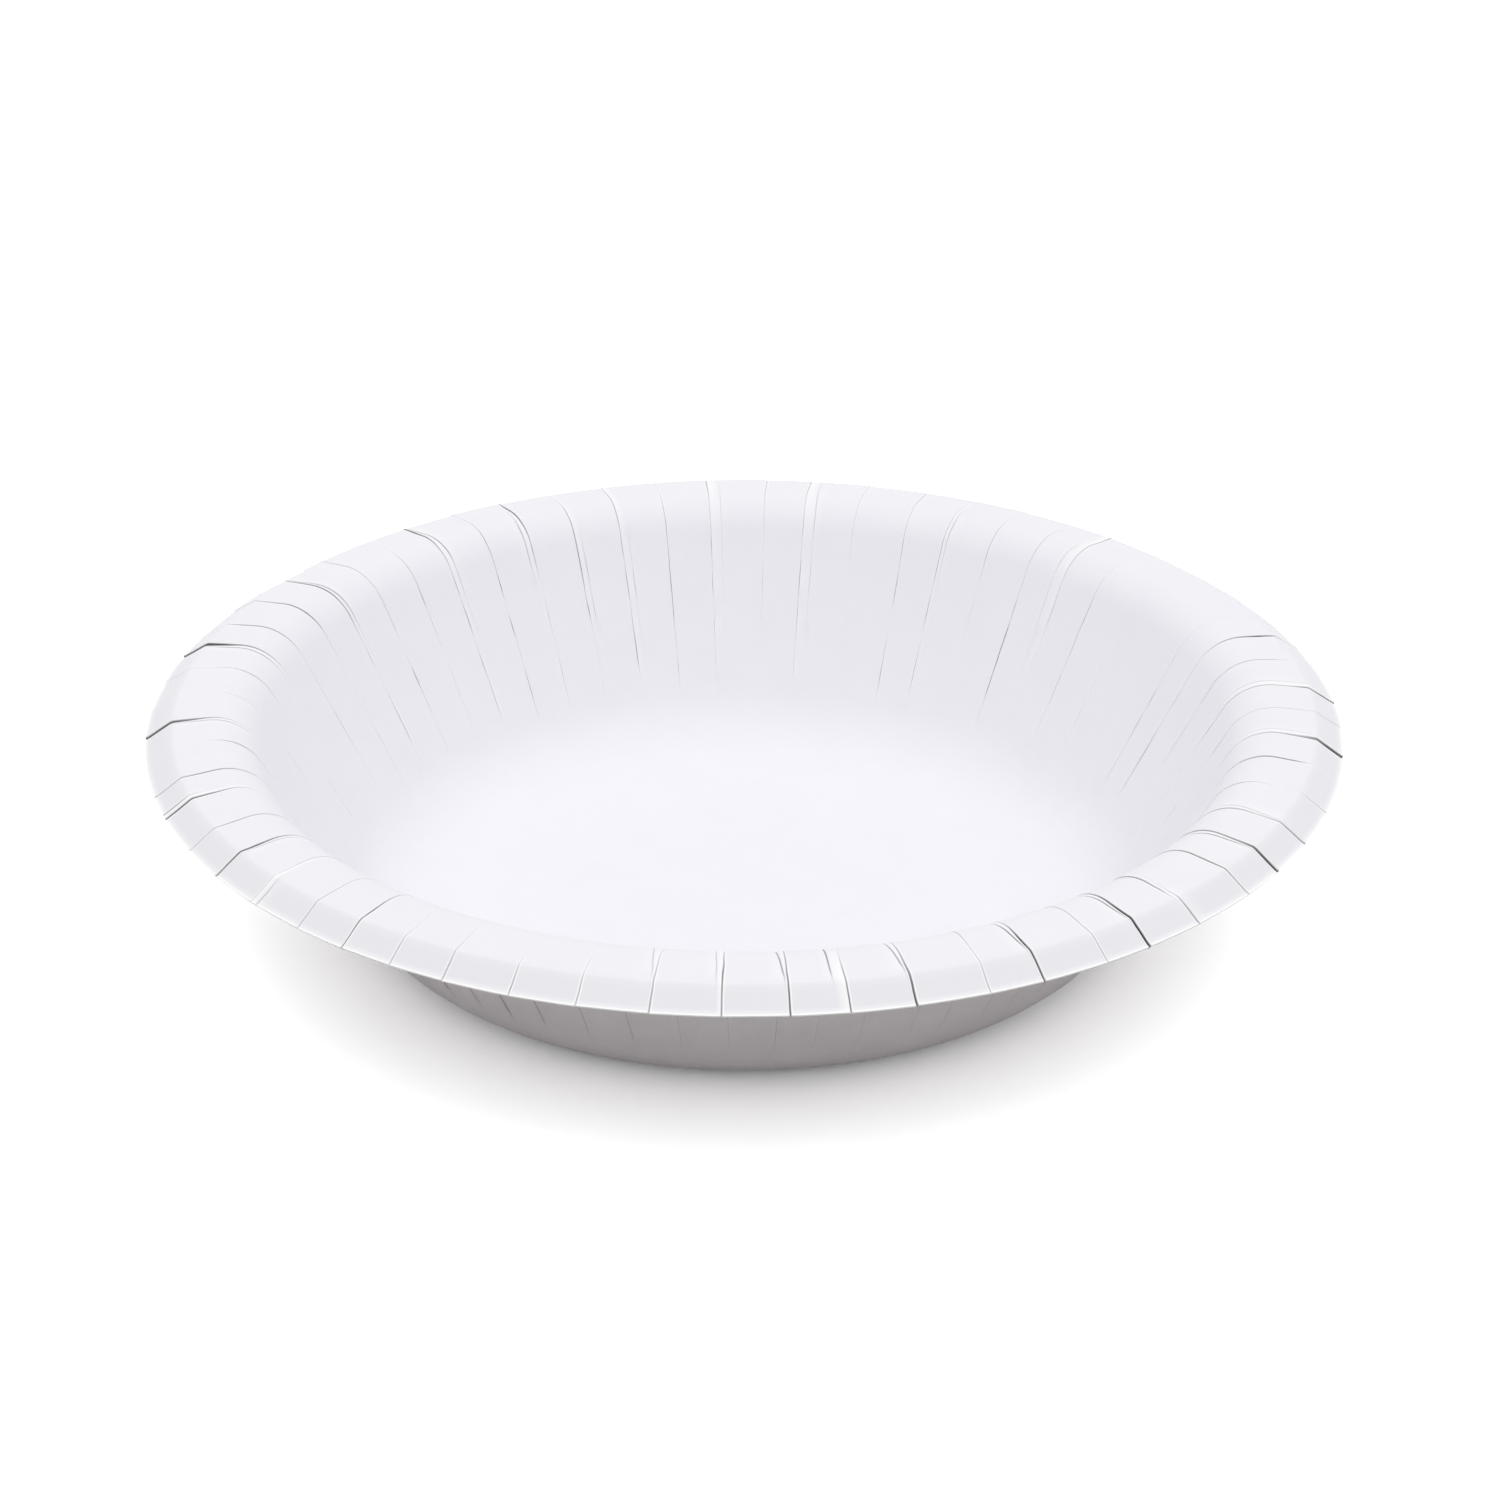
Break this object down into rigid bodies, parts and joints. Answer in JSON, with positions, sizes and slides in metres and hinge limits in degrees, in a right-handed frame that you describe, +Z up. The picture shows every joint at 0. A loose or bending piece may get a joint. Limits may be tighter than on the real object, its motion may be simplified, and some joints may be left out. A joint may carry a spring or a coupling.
{
  "type": "paper bowl",
  "caption": "Round disposable bowl pressed from one sheet of white coated paperboard, with a flat floor, flared pleated wall and a wide turned-down rim.",
  "frame": {"origin": "centre of the floor's underside, on the surface the bowl stands on", "axes": "+Z up along the bowl's axis, out of its mouth; -Y towards the viewer of the picture, +X to the viewer's right"},
  "size_m": [0.184, 0.184, 0.0343],
  "materials": {
    "paperboard": "white coated paperboard, smooth with a soft sheen"
  },
  "bodies": {
    "root": {"bowl": "paperboard"}
  },
  "joints": []
}
